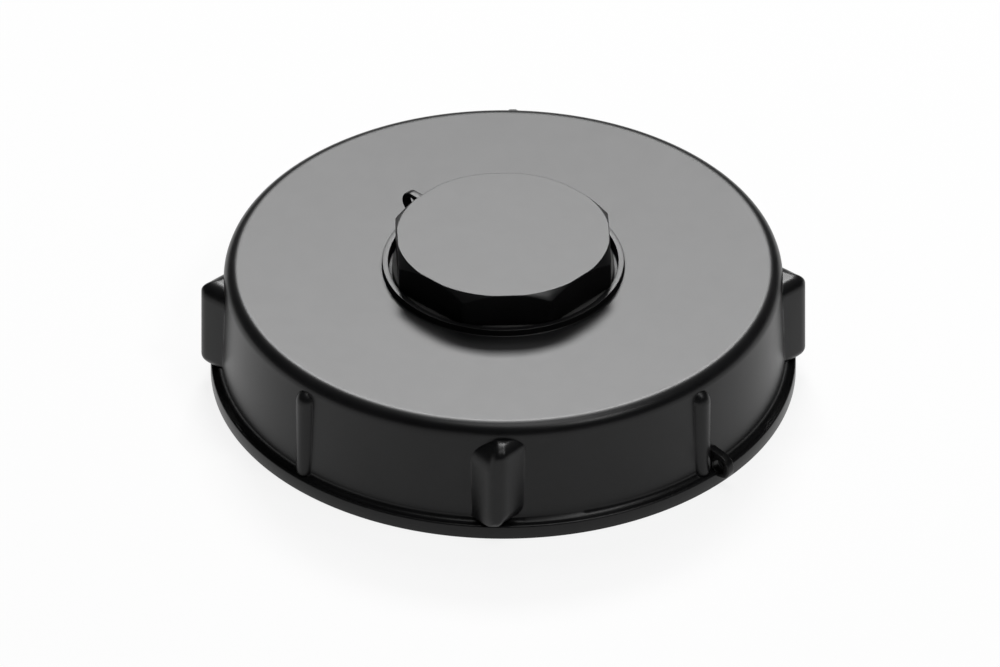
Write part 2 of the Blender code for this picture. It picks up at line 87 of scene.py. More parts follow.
# Lug: a tapering block with rounded edges. Its columns of points stand a step apart, and one more
# stands a margin beside its foot.
LUG_WALL = 86.1
LUG_REACH = LUG_TIP - LUG_WALL
LUG_FOOT = 8.5
LUG_RIDGE = 2.0
LUG_RIDGE_EDGE = 1.4
LUG_BOTTOM = 5.0
LUG_TOP = 34.7
LUG_END = 3.4
LUG_STEP = 0.42
LUG_MARGIN = 0.6
LUG_RIDGE_MARGIN = 0.8

# Each lug's azimuth, its shift along the wall, and the radii of its upper and lower edges on its
# two sides, first on the side of the smaller azimuth
LUGS = (
    (0.0, -1.7, (8.5, 3.6), (1.6, 6.0)),
    (90.0, 1.7, (3.6, 5.5), (3.6, 3.0)),
    (180.0, -1.7, (3.6, 8.5), (3.6, 3.6)),
    (270.0, 1.7, (6.0, 5.0), (3.0, 3.6)),
)

# Rib: a half-round bar with a rounded top. Its columns of points stand a few degrees apart round
# the bar, and some more stand beside it.
RIB_CENTRE = 85.5
RIB_RADIUS = 3.3
RIB_TOP = 35.0
RIB_ROUNDING = 4.0
RIB_BLEND = 0.25
RIB_FOOT_ANGLE = 85.0
RIB_STEP_ANGLE = 6.0
RIB_MARGINS = (0.15, 0.6, 1.1)
RIB_AZIMUTHS = (45.0, 135.0, 225.0, 315.0)

# Collar, seat and boss round the plug, and the lip beside the lid's gasket
COLLAR_INNER = 35.4
COLLAR_OUTER = 37.2
COLLAR_EDGE = 0.15
COLLAR_FILLET = 0.25
SEAT_HEIGHT = 37.6
BORE_RADIUS = 28.2
BOSS_RADIUS = 32.8
BOSS_BOTTOM = 16.0
BOSS_CHAMFER = 0.8
LIP_OUTER = 70.7
LIP_INNER = 69.1
LIP_DEPTH = 2.6

# Webs under the top, from the boss to the lip
WEB_COUNT = 8
WEB_HALF = 1.0
WEB_BOTTOM = 30.0
WEB_EDGE = 0.5

# Threads: the foot's radius, the depth (inwards below 0), the widths of root and crest, the
# pitch, the height of the start, the turns, and whether the loaded flank is above (-1) or below (1)
NECK_THREAD = (NECK_RADIUS, -2.2, 4.4, 1.7, 7.0, 8.2, 3.129, -1)
BOSS_THREAD = (BORE_RADIUS, -1.3, 2.0, 0.8, 4.0, 18.3, 4.075, 1)
PLUG_THREAD = (26.4, 1.3, 2.0, 0.8, 4.0, 22.0, 3.45, -1)
THREAD_SINK = 0.4
THREAD_EDGE = 0.22
THREAD_STEPS = 120
THREAD_TIP_SHARE = 0.2
RUN_OUT = 24.0
LOADED_FLANK_SHARE = 0.12

# Plug
PLUG_HALF_WIDTH, PLUG_BOTTOM, PLUG_TOP = node_size("plug")
PLUG_FLAT = 32.7
PLUG_FLAT_AZIMUTH = 2.3
PLUG_CORNER = 2.5
PLUG_CONE = 32.85
PLUG_EDGE = 0.1
HEAD_BOTTOM = 40.2
SHANK_RADIUS = 26.4
SHANK_CHAMFER = 1.0
HOLLOW_RADIUS = 23.2
HOLLOW_TOP = 47.5
HEAD_FILLET = 0.6
HOLLOW_FILLET = 1.2
PLUG_FLAT_STEP = 1.3
PLUG_CORNER_STEP = 0.4

# Eyelets: plates with a hole for a seal wire
EYELET_THICKNESS = 2.7
EYELET_HOLE = 2.3
EYELET_EDGE = 0.3
EYELET_STEPS = 72
EYELET_ARC_STEPS = 20
RIM_EYELET_AZIMUTH = 47.0
RIM_EYELET_HOLE = (90.2, 7.1)
RIM_EYELET_REACH = 4.5
RIM_EYELET_ARC = (-45.0, 76.0)
RIM_EYELET_BACK = 84.5
RIM_EYELET_FOOT = 3.2
RIM_EYELET_TOP = 12.6
TOP_EYELET_AZIMUTH = -135.0
TOP_EYELET_HOLE = (40.5, 42.35)
TOP_EYELET_REACH = 3.6
TOP_EYELET_ARC = (-50.0, 90.0)
TOP_EYELET_BACK = 36.55
TOP_EYELET_FOOT = 37.55
TOP_EYELET_FOOT_REACH = 2.0

# Gaskets: flat rings
GASKET_EDGE = 0.45
GASKET_STEPS = 240
GASKET_WIDTH = 10.6
PLUG_GASKET_INNER = 28.0

# Small roundings and broken edges of the mouldings
SMALL_EDGE = 0.3
LIP_EDGE = 0.4
UNDERSIDE_FILLET = 0.8
CHAMFER_BREAK = 0.1
MOUTH_BREAK = 0.05
MOUTH_BREAK_LENGTH = 0.2
FLAT_MARGIN = 1.0

# How many rows of points the lid's wall has in each stretch, from the shoulder to the rim, and
# how far the stretches beside a lug reach out of and into its rounded edges
WALL_ROWS = (6, 5, 14, 6, 12, 5, 5)
WALL_START = 36.6
WALL_END = 4.9
ROWS_OUT = 0.8
ROWS_IN = 1.2
ROW_GAP = 0.05
SHOULDER_ROWS = 12

# When a line counts as level with a direction, and a point as on a line's end
PARALLEL = 1e-9
TOUCHING = 1e-6

# Faces that meet at more than this angle, in degrees, are shaded with a sharp edge
SHARP_FROM = 32.0

# Surfaces: darkest and palest colour, lowest and highest roughness, size and height of the grain,
# size of the clouds, and index of refraction
BLACK = ((0.005, 0.005, 0.0053), (0.008, 0.008, 0.0085))
GREY = ((0.024, 0.024, 0.024), (0.036, 0.036, 0.035))
LID_SURFACE = (BLACK, (0.325, 0.335), (0.25, 0.002), 14.0, 1.33)
PLUG_SURFACE = (BLACK, (0.325, 0.335), (0.25, 0.002), 11.0, 1.33)
RUBBER_SURFACE = (GREY, (0.7, 0.85), (0.15, 0.012), 8.0, 1.5)
NOISE_LOW = 0.3
NOISE_HIGH = 0.7

# Floor and room: radius in metres, colour, how much of the floor is white to the eye, room light
FLOOR_RADIUS = 6.0
FLOOR_COLOUR = 0.9
FLOOR_ROUGHNESS = 0.9
FLOOR_GLOW = 0.85
ROOM_LIGHT = 0.02

# Lamps: name, azimuth, elevation, width and height in metres, brightness, distance in metres
LAMPS = (
    ("back", 180.0, 41.8, 1.4, 0.7, 33.5, 4.0),
    ("above", 180.0, 60.0, 0.7, 0.6, 7.0, 2.0),
    ("overhead", 60.0, 84.0, 1.0, 0.9, 3.9, 2.0),
    ("front", 50.0, 57.0, 0.4, 0.4, 14.0, 2.0),
)


def point_on(start, end, share):
    """A number between two numbers."""
    return start + (end - start) * share


def arc(centre, radius, start, end, steps=4):
    """Points on a circular arc from one angle to another, in degrees."""
    points = []
    for step in range(steps + 1):
        angle = math.radians(point_on(start, end, step / steps))
        points.append((centre[0] + radius * math.cos(angle), centre[1] + radius * math.sin(angle)))
    return points


def run(start, end, steps):
    """Points on a straight line, without its last one."""
    return [
        (point_on(start[0], end[0], step / steps), point_on(start[1], end[1], step / steps))
        for step in range(steps)]


def divide(start, end, steps):
    """Numbers from a start towards an end, without the last one."""
    return [point_on(start, end, step / steps) for step in range(steps)]


def soft_max(first, second, blend):
    """The larger of two numbers, with a rounded change from one to the other."""
    gap = max(blend - abs(first - second), 0.0) / blend
    return max(first, second) + gap * gap * blend / 4


def soft_min(first, second, blend):
    """The smaller of two numbers, with a rounded change from one to the other."""
    return -soft_max(-first, -second, blend)


def at(azimuth, radius, height):
    """A point in metres from its azimuth, radius and height."""
    angle = math.radians(azimuth - 90.0)
    return (radius * math.cos(angle) * MM, radius * math.sin(angle) * MM, height * MM)


def beside(azimuth, radius, along, height):
    """A point in metres beside an azimuth's plane, which is met square on."""
    angle = math.radians(azimuth - 90.0)
    x = radius * math.cos(angle) - along * math.sin(angle)
    y = radius * math.sin(angle) + along * math.cos(angle)
    return (x * MM, y * MM, height * MM)


def wall_radius(height):
    """The lid's outer radius at a height, from the shoulder down to the ledge."""
    shoulder_foot = LID_HEIGHT - SHOULDER
    fillet_top = RIM_HEIGHT + RIM_FILLET
    if height > shoulder_foot:
        rise = height - shoulder_foot
        return WALL_TOP - SHOULDER + math.sqrt(max(0.0, SHOULDER ** 2 - rise ** 2))
    if height < fillet_top:
        drop = fillet_top - height
        return WALL_BASE + RIM_FILLET - math.sqrt(max(0.0, RIM_FILLET ** 2 - drop ** 2))
    return point_on(WALL_BASE, WALL_TOP, (height - fillet_top) / (shoulder_foot - fillet_top))


def rib_heights():
    """Heights of the wall's rows on a rib: close together round its rounded top."""
    rows = WALL_ROWS
    shoulder = RIB_TOP - RIB_ROUNDING
    foot = RIM_HEIGHT + 2 * RIM_FILLET
    heights = divide(WALL_START, RIB_TOP + ROW_GAP, rows[0])
    heights += [
        shoulder + RIB_ROUNDING * math.cos(math.radians(angle))
        for angle in divide(0.0, 90.0, rows[1] + rows[2])]
    heights += divide(shoulder, foot, rows[3])
    heights += divide(foot, WALL_END, rows[4] + rows[5] + rows[6])
    return heights


def inset(radius, depth):
    """How far a rounded edge draws a side in, at a depth below the face that it rounds off."""
    left = max(0.0, radius - depth)
    return radius - math.sqrt(radius ** 2 - left ** 2)


def lug_reach(away, edges, height):
    """How far a lug stands out at a distance from its middle and a height."""
    slope = LUG_REACH / (LUG_FOOT - LUG_RIDGE)
    along_slope = math.sqrt(1.0 + slope ** 2)
    top_depth, bottom_depth = LUG_TOP - height, height - LUG_BOTTOM
    tip = LUG_REACH - max(inset(LUG_END, top_depth), inset(LUG_END, bottom_depth))
    drawn_in = max(inset(edges[0], top_depth), inset(edges[1], bottom_depth))
    return soft_min(tip, (LUG_FOOT - away) * slope - drawn_in * along_slope, LUG_RIDGE_EDGE)


def edge_angle(away, edge):
    """Where on a lug's rounded edge, in degrees, its surface leaves the wall."""
    slope = LUG_REACH / (LUG_FOOT - LUG_RIDGE)
    room = (LUG_FOOT - away) * slope / math.sqrt(1.0 + slope ** 2)
    return math.degrees(math.acos(max(0.0, 1.0 - room / edge)))


def edge_drop(edge, angle):
    """How far from a lug's end a place on its rounded edge lies, by its angle in degrees."""
    return edge * (1.0 - math.sin(math.radians(angle)))


def rows_beside_lug(high, low):
    """The wall's rows of (radius, height) beside a lug, between the ends of its rounded edges."""
    marks = (
        WALL_START, high + ROWS_OUT, high, high - ROWS_IN, low + ROWS_IN, low, low - ROWS_OUT, WALL_END)
    heights = []
    for start, end, count in zip(marks, marks[1:], WALL_ROWS):
        heights += divide(start, end, count)
    return [(wall_radius(height), height) for height in heights]


def lug_rows(away, edges):
    """The wall's rows of (radius, height) across a lug, at a distance from its middle."""
    rows = WALL_ROWS
    upper, lower = edges
    high, low = LUG_TOP - upper, LUG_BOTTOM + lower
    if away >= LUG_FOOT:
        return rows_beside_lug(high, low)
    start, end = edge_angle(away, upper), edge_angle(away, lower)
    top = LUG_TOP - edge_drop(upper, start)
    bottom = LUG_BOTTOM + edge_drop(lower, end)
    heights = [LUG_TOP - edge_drop(upper, angle) for angle in divide(start, 0.0, rows[2])]
    heights += divide(high, low, rows[3])
    heights += [LUG_BOTTOM + edge_drop(lower, angle) for angle in divide(0.0, end, rows[4])]
    faces = [(LUG_WALL + lug_reach(away, edges, height), height) for height in heights]
    last = (LUG_WALL + lug_reach(away, edges, bottom), bottom)
    above = [(wall_radius(height), height) for height in divide(WALL_START, top + ROW_GAP, rows[0])]
    onto = run((wall_radius(top), top), faces[0], rows[1])
    off = run(last, (wall_radius(bottom), bottom), rows[5])
    below = [(wall_radius(height), height) for height in divide(bottom - ROW_GAP, WALL_END, rows[6])]
    whole = above + onto + faces + off + below
    return [(max(radius, wall_radius(height)), height) for radius, height in whole]


def rib_reach(offset, height):
    """A rib's outer radius at a distance from its middle, or 0 where there is none."""
    shoulder = RIB_TOP - RIB_ROUNDING
    share = 1.0
    if height > shoulder:
        share = max(0.0, 1.0 - ((height - shoulder) / RIB_ROUNDING) ** 2)
    inside = RIB_RADIUS ** 2 * share - offset ** 2
    return RIB_CENTRE + math.sqrt(inside) if inside > 0.0 else 0.0


def spread(marks, step):
    """Divide the stretches between marks evenly, into steps of about a given size."""
    places = []
    for start, end in zip(marks, marks[1:]):
        places += divide(start, end, max(1, round((end - start) / step)))
    return places + [marks[-1]]


def ledge_rows():
    """(radius, height) rows from the wall's foot out to the rim's edge."""
    start = 180.0 + math.degrees(math.asin((RIM_HEIGHT + RIM_FILLET - WALL_END) / RIM_FILLET))
    rows = arc((WALL_BASE + RIM_FILLET, RIM_HEIGHT + RIM_FILLET), RIM_FILLET, start, 270.0)
    return rows + run((WALL_BASE + RIM_FILLET, RIM_HEIGHT), (RIM_RADIUS - RIM_EDGE, RIM_HEIGHT), 3)[1:]


def lug_zone(azimuth, shift, upper_edges, lower_edges):
    """(azimuth, rows of the wall) for the columns of points across a lug."""
    zone = []
    marks = (LUG_RIDGE + LUG_RIDGE_MARGIN, LUG_FOOT, LUG_FOOT + LUG_MARGIN)
    marks = [-mark for mark in reversed(marks)] + list(marks)
    for offset in spread(marks, LUG_STEP):
        share = 0.5 + 0.5 * max(-1.0, min(1.0, offset / LUG_RIDGE))
        edges = (point_on(*upper_edges, share), point_on(*lower_edges, share))
        place = azimuth + math.degrees(math.asin((offset + shift) / LUG_WALL))
        zone.append((place, lug_rows(min(abs(offset), LUG_FOOT), edges)))
    return zone


def rib_zone(azimuth):
    """(azimuth, rows of the wall) for the columns of points across a rib."""
    zone = []
    angles = spread((-RIB_FOOT_ANGLE, RIB_FOOT_ANGLE), RIB_STEP_ANGLE)
    offsets = [-RIB_RADIUS - margin for margin in reversed(RIB_MARGINS)]
    offsets += [RIB_RADIUS * math.sin(math.radians(angle)) for angle in angles]
    offsets += [RIB_RADIUS + margin for margin in RIB_MARGINS]
    for offset in offsets:
        place = azimuth + math.degrees(math.asin(offset / WALL_TOP))
        rows = [
            (soft_max(wall_radius(height), rib_reach(offset, height), RIB_BLEND), height)
            for height in rib_heights()]
        zone.append((place, rows))
    return zone


def wall_columns():
    """(azimuth, rows of the wall) of the lid's columns of points, all the way round."""
    zones = [lug_zone(*lug) for lug in LUGS]
    zones += [rib_zone(azimuth) for azimuth in RIB_AZIMUTHS]
    zones.sort()
    columns = []
    for zone, following in zip(zones, zones[1:] + zones[:1]):
        columns += zone
        (start, before), (end, after) = zone[-1], following[0]
        if end < start:
            end += 360.0
        for step in range(1, round(end - start)):
            share = step / round(end - start)
            eased = share * share * (3 - 2 * share)
            heights = [point_on(first[1], second[1], eased) for first, second in zip(before, after)]
            rows = [(wall_radius(height), height) for height in heights]
            columns.append((point_on(start, end, share), rows))
    return columns


def top_rows():
    """(radius, height) rows of the lid's top, from the collar out to the shoulder."""
    edge = (WALL_TOP - SHOULDER - FLAT_MARGIN / 2, LID_HEIGHT)
    rows = [(COLLAR_OUTER, COLLAR_TOP - COLLAR_EDGE)]
    rows += arc((COLLAR_OUTER + COLLAR_FILLET, LID_HEIGHT + COLLAR_FILLET), COLLAR_FILLET, 180.0, 270.0)
    rows += run((COLLAR_OUTER + FLAT_MARGIN, LID_HEIGHT), edge, 5) + [edge]
    start = math.degrees(math.asin((WALL_START - LID_HEIGHT + SHOULDER) / SHOULDER))
    shoulder = arc((WALL_TOP - SHOULDER, LID_HEIGHT - SHOULDER), SHOULDER, 90.0, start, SHOULDER_ROWS)
    return rows + shoulder[:-1]


def rim_and_neck_rows():
    """(radius, height) rows from the rim's edge, through the mouth and up to the underside."""
    fillet = UNDERSIDE_FILLET
    rows = arc((RIM_RADIUS - RIM_EDGE, RIM_HEIGHT - RIM_EDGE), RIM_EDGE, 90.0, 0.0, 5)
    rows += arc((RIM_RADIUS - SMALL_EDGE, SMALL_EDGE), SMALL_EDGE, 0.0, -90.0, 3)
    rows += [(NECK_RADIUS + MOUTH_CHAMFER + MOUTH_BREAK_LENGTH, 0.0)]
    rows += [(NECK_RADIUS + MOUTH_CHAMFER, MOUTH_BREAK), (NECK_RADIUS + MOUTH_BREAK, MOUTH_CHAMFER)]
    rows += [(NECK_RADIUS, MOUTH_CHAMFER + MOUTH_BREAK_LENGTH)]
    rows += run((NECK_RADIUS, MOUTH_CHAMFER + fillet), (NECK_RADIUS, UNDERSIDE - fillet), 3)
    return rows + arc((NECK_RADIUS - fillet, UNDERSIDE - fillet), fillet, 0.0, 90.0)


def lip_rows():
    """(radius, height) rows round the lip beside the gasket, from its outer side to its inner one."""
    bottom = UNDERSIDE - LIP_DEPTH
    rows = arc((LIP_OUTER + SMALL_EDGE, UNDERSIDE - SMALL_EDGE), SMALL_EDGE, 90.0, 180.0, 2)
    rows += arc((LIP_OUTER - LIP_EDGE, bottom + LIP_EDGE), LIP_EDGE, 0.0, -90.0, 3)
    rows += arc((LIP_INNER + LIP_EDGE, bottom + LIP_EDGE), LIP_EDGE, 270.0, 180.0, 3)
    return rows + arc((LIP_INNER - SMALL_EDGE, UNDERSIDE - SMALL_EDGE), SMALL_EDGE, 0.0, 90.0, 2)


def boss_rows():
    """(radius, height) rows down the boss's outside and up its bore to the plug's seat."""
    fillet = UNDERSIDE_FILLET
    chamfer_top = BOSS_BOTTOM + BOSS_CHAMFER
    rows = run((LIP_INNER - FLAT_MARGIN, UNDERSIDE), (BOSS_RADIUS + FLAT_MARGIN, UNDERSIDE), 2)
    rows += arc((BOSS_RADIUS + fillet, UNDERSIDE - fillet), fillet, 90.0, 180.0)
    rows += [(BOSS_RADIUS, chamfer_top + CHAMFER_BREAK)]
    rows += [(BOSS_RADIUS - CHAMFER_BREAK, chamfer_top - CHAMFER_BREAK)]
    rows += [(BOSS_RADIUS - BOSS_CHAMFER, BOSS_BOTTOM), (BORE_RADIUS + BOSS_CHAMFER, BOSS_BOTTOM)]
    rows += [(BORE_RADIUS, chamfer_top), (BORE_RADIUS, SEAT_HEIGHT - SMALL_EDGE)]
    return rows + [(BORE_RADIUS + SMALL_EDGE, SEAT_HEIGHT)]


def collar_rows():
    """(radius, height) rows from the plug's seat up to the collar's top."""
    corner = (COLLAR_INNER - SMALL_EDGE, SEAT_HEIGHT)
    rows = run((BORE_RADIUS + 2 * SMALL_EDGE, SEAT_HEIGHT), corner, 3)
    rows += arc((COLLAR_INNER - SMALL_EDGE, SEAT_HEIGHT + SMALL_EDGE), SMALL_EDGE, 270.0, 360.0, 3)
    top = COLLAR_TOP - COLLAR_EDGE
    rows += arc((COLLAR_INNER + COLLAR_EDGE, top), COLLAR_EDGE, 180.0, 90.0)
    return rows + arc((COLLAR_OUTER - COLLAR_EDGE, top), COLLAR_EDGE, 90.0, 0.0)[:-1]


def add_rings(shape, columns, around=True, closed=True, first=None, last=None):
    """Join columns of points into quads: round a ring, or along a bar with two flat ends.

    A closed column ends where it starts. An open one starts and ends at a point given by
    first and last, which all the columns share.
    """
    count = len(columns[0])
    corners = [[shape.verts.new(point) for point in column] for column in columns]
    pairs = list(zip(corners, corners[1:]))
    if around:
        pairs.append((corners[-1], corners[0]))
    for here, there in pairs:
        for row in range(count if closed else count - 1):
            below = (row + 1) % count
            shape.faces.new((here[row], here[below], there[below], there[row]))
    if not around:
        shape.faces.new(corners[0])
        shape.faces.new(reversed(corners[-1]))
    for point, row in ((first, 0), (last, -1)):
        if point is not None:
            tip = shape.verts.new(point)
            for here, there in pairs:
                shape.faces.new((tip, here[row], there[row]))


def add_thread(shape, thread):
    """A ridge on a right-handed helix that runs out at both ends, its foot sunk in the wall."""
    foot, depth, root, crest, pitch, start, turns, side = thread
    sink = math.copysign(THREAD_SINK, -depth)
    edge = math.copysign(THREAD_EDGE, depth)
    loaded = (root - crest) * LOADED_FLANK_SHARE
    free = (root - crest) - loaded
    beyond = THREAD_SINK / abs(depth)
    section = [
        (sink, -loaded * beyond),
        (depth - edge, loaded * (1.0 - THREAD_EDGE / abs(depth))),
        (depth, loaded + THREAD_EDGE),
        (depth, loaded + crest - THREAD_EDGE),
        (depth - edge, loaded + crest + free * THREAD_EDGE / abs(depth)),
        (sink, root + free * beyond)]
    middle = loaded + crest / 2
    count = round(turns * THREAD_STEPS)
    columns = []
    for step in range(count + 1):
        turn = step / THREAD_STEPS
        left = min(step, count - step) / (RUN_OUT / 360.0 * THREAD_STEPS)
        size = math.sin(min(1.0, THREAD_TIP_SHARE + left) * math.pi / 2)
        rise = start + pitch * turn
        columns.append([
            at(90.0 + 360.0 * turn,
               foot + sink + (across - sink) * size,
               rise + side * (middle + (up - middle) * size))
            for across, up in section])
    add_rings(shape, columns, around=False)


def add_webs(shape):
    """Flat webs with rounded lower edges, from the boss out to the lip."""
    inner = (BORE_RADIUS + BOSS_RADIUS) / 2
    outer = (LIP_OUTER + LIP_INNER) / 2
    section = [(WEB_HALF, UNDERSIDE + TOP_THICKNESS / 2)]
    section += arc((WEB_HALF - WEB_EDGE, WEB_BOTTOM + WEB_EDGE), WEB_EDGE, 0.0, -90.0)
    section += [(-across, height) for across, height in reversed(section)]
    for number in range(WEB_COUNT):
        azimuth = 360.0 * (number + 0.5) / WEB_COUNT
        columns = [
            [beside(azimuth, radius, across, height) for across, height in section]
            for radius in (inner, outer)]
        add_rings(shape, columns, around=False)


def outline_reach(outline, centre, angle):
    """How far a convex outline lies from a point inside it, in one direction."""
    across, up = math.cos(angle), math.sin(angle)
    nearest = None
    for start, end in zip(outline, outline[1:] + outline[:1]):
        run_x, run_y = end[0] - start[0], end[1] - start[1]
        turn = across * run_y - up * run_x
        if abs(turn) < PARALLEL:
            continue
        from_x, from_y = start[0] - centre[0], start[1] - centre[1]
        distance = (from_x * run_y - from_y * run_x) / turn
        share = (from_x * up - from_y * across) / turn
        if distance > 0.0 and -TOUCHING <= share <= 1.0 + TOUCHING:
            nearest = distance if nearest is None else min(nearest, distance)
    return nearest


def add_eyelet(shape, azimuth, outline, hole, side):
    """An upright plate with rounded edges and a hole, on one side of an azimuth's plane."""
    half = EYELET_THICKNESS / 2
    angles = [math.tau * step / EYELET_STEPS for step in range(EYELET_STEPS)]
    angles += [math.atan2(up - hole[1], across - hole[0]) % math.tau for across, up in outline]
    columns = []
    for angle in sorted({round(angle, 4) for angle in angles}):
        across, up = math.cos(angle), math.sin(angle)
        reach = outline_reach(outline, hole, angle)
        section = arc((EYELET_HOLE + EYELET_EDGE, half - EYELET_EDGE), EYELET_EDGE, 180.0, 90.0, 3)
        section += arc((reach - EYELET_EDGE, half - EYELET_EDGE), EYELET_EDGE, 90.0, 0.0, 3)
        section += [(radius, -along) for radius, along in reversed(section)]
        columns.append([
            beside(azimuth, hole[0] + radius * across, side * half + along, hole[1] + radius * up)
            for radius, along in section])
    add_rings(shape, columns)


def add_eyelets(shape):
    """The eyelet on the rim, and the one on the lid's top beside the collar."""
    outline = [(RIM_EYELET_BACK, RIM_EYELET_FOOT), (RIM_RADIUS - RIM_EDGE, RIM_EYELET_FOOT)]
    outline += arc(RIM_EYELET_HOLE, RIM_EYELET_REACH, *RIM_EYELET_ARC, EYELET_ARC_STEPS)
    outline.append((RIM_EYELET_BACK, RIM_EYELET_TOP))
    add_eyelet(shape, RIM_EYELET_AZIMUTH, outline, RIM_EYELET_HOLE, 1)
    front = TOP_EYELET_HOLE[0] + TOP_EYELET_FOOT_REACH
    outline = [(TOP_EYELET_BACK, TOP_EYELET_FOOT), (front, TOP_EYELET_FOOT)]
    outline += arc(TOP_EYELET_HOLE, TOP_EYELET_REACH, *TOP_EYELET_ARC, EYELET_ARC_STEPS)
    outline.append((TOP_EYELET_BACK, EYELET_TOP))
    add_eyelet(shape, TOP_EYELET_AZIMUTH, outline, TOP_EYELET_HOLE, -1)


def body_with(node):
    """The moving body that a node belongs to."""
    bodies = frame["record"]["behaviour"]["bodies"]
    return next(name for name, nodes in bodies.items() if node in nodes)


def finish_piece(name, shape, node, material):
    """Turn a bmesh into a piece that stands for a node and rides on its body."""
    bmesh.ops.recalc_face_normals(shape, faces=shape.faces)
    mesh = bpy.data.meshes.new(name)
    shape.to_mesh(mesh)
    shape.free()
    mesh.shade_smooth()
    mesh.set_sharp_from_angle(angle=math.radians(SHARP_FROM))
    mesh.materials.append(material)
    piece = bpy.data.objects.new(name, mesh)
    bpy.context.scene.collection.objects.link(piece)
    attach(piece, body_with(node))
    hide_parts(node)


def make_lid(material):
    """The lid's moulding."""
    shape = bmesh.new()
    top = top_rows()
    beneath = ledge_rows() + rim_and_neck_rows() + lip_rows() + boss_rows() + collar_rows()
    add_rings(shape, [
        [at(azimuth, radius, height) for radius, height in top + wall + beneath]
        for azimuth, wall in wall_columns()])
    add_thread(shape, NECK_THREAD)
    add_thread(shape, BOSS_THREAD)
    add_webs(shape)
    add_eyelets(shape)
    finish_piece("lid_moulding", shape, "lid", material)


def flat_end():
    """The angle from the middle of a flat to where the head's rounded corner starts."""
    return math.atan((1.0 - PLUG_CORNER / PLUG_FLAT) * math.tan(math.pi / 8))


def octagon_radius(angle):
    """The plug head's outer radius at an angle from the middle of a flat, up to a corner."""
    corner = math.pi / 8
    if angle <= flat_end():
        return PLUG_FLAT / math.cos(angle)
    centre = (PLUG_FLAT - PLUG_CORNER) / math.cos(corner)
    aside = corner - angle
    return centre * math.cos(aside) + math.sqrt(PLUG_CORNER ** 2 - (centre * math.sin(aside)) ** 2)


def rounded(corner, before, after, edge):
    """Three points that round a profile's corner off, between its two neighbours."""
    here, first, second = Vector(corner), Vector(before), Vector(after)
    start = here + (first - here).normalized() * edge
    end = here + (second - here).normalized() * edge
    middle = (start + end) / 4 + here / 2
    return [tuple(start), tuple(middle), tuple(end)]


def head_rows(radius):
    """(radius, height) rows over the plug's head, where it has this radius."""
    drop = soft_max(radius - PLUG_CONE, 1.5 * PLUG_EDGE, PLUG_EDGE)
    top_corner = (radius - drop, PLUG_TOP)
    side_corner = (radius, PLUG_TOP - drop)
    flat_edge = (top_corner[0] - 2 * PLUG_EDGE, PLUG_TOP)
    side_foot = (radius, HEAD_BOTTOM + FLAT_MARGIN / 2)
    rows = run((0.2 * top_corner[0], PLUG_TOP), flat_edge, 4) + [flat_edge]
    rows += rounded(top_corner, (0.0, PLUG_TOP), side_corner, 0.6 * PLUG_EDGE)
    rows += rounded(side_corner, top_corner, (radius, HEAD_BOTTOM), 0.6 * PLUG_EDGE)
    rows += run((radius, side_corner[1] - FLAT_MARGIN / 2), side_foot, 3) + [side_foot]
    return rows + arc((radius - SMALL_EDGE, HEAD_BOTTOM + SMALL_EDGE), SMALL_EDGE, 0.0, -90.0, 3)


def shank_rows(radius):
    """(radius, height) rows from under the plug's head, down its shank and up into its hollow."""
    shank_end = (SHANK_RADIUS, PLUG_BOTTOM + SHANK_CHAMFER)
    ceiling = HOLLOW_TOP - HOLLOW_FILLET
    rows = run((radius - 2 * SMALL_EDGE, HEAD_BOTTOM), (SHANK_RADIUS + FLAT_MARGIN, HEAD_BOTTOM), 3)
    rows += arc((SHANK_RADIUS + HEAD_FILLET, HEAD_BOTTOM - HEAD_FILLET), HEAD_FILLET, 90.0, 180.0)
    rows += run((SHANK_RADIUS, HEAD_BOTTOM - 2 * HEAD_FILLET), shank_end, 4)
    rows += [shank_end, (SHANK_RADIUS - SHANK_CHAMFER, PLUG_BOTTOM)]
    rows += arc((HOLLOW_RADIUS + SMALL_EDGE, PLUG_BOTTOM + SMALL_EDGE), SMALL_EDGE, 270.0, 180.0, 3)
    rows += run((HOLLOW_RADIUS, PLUG_BOTTOM + 2 * SMALL_EDGE), (HOLLOW_RADIUS, ceiling - SMALL_EDGE), 4)
    rows += arc((HOLLOW_RADIUS - HOLLOW_FILLET, ceiling), HOLLOW_FILLET, 0.0, 90.0, 5)
    rows += [(HOLLOW_RADIUS - HOLLOW_FILLET - SMALL_EDGE, HOLLOW_TOP)]
    return rows + [(HOLLOW_RADIUS / 2, HOLLOW_TOP), (HOLLOW_RADIUS / 5, HOLLOW_TOP)]


def make_plug(material):
    """The plug: an eight-sided head with turned corners on a hollow threaded shank."""
    shape = bmesh.new()
    flat = math.degrees(flat_end())
    angles = spread((-flat, flat), PLUG_FLAT_STEP)[:-1]
    angles += spread((flat, 45.0 - flat), PLUG_CORNER_STEP)[:-1]
    columns = []
    for side in range(8):
        for angle in angles:
            from_flat = angle if angle <= 22.5 else angle - 45.0
            reach = octagon_radius(math.radians(abs(from_flat)))
            azimuth = PLUG_FLAT_AZIMUTH + 45.0 * side + angle
            columns.append([
                at(azimuth, radius, height) for radius, height in head_rows(reach) + shank_rows(reach)])
    add_rings(
        shape, columns, closed=False, first=(0.0, 0.0, PLUG_TOP * MM), last=(0.0, 0.0, HOLLOW_TOP * MM))
    add_thread(shape, PLUG_THREAD)
    finish_piece("screw_plug", shape, "plug", material)


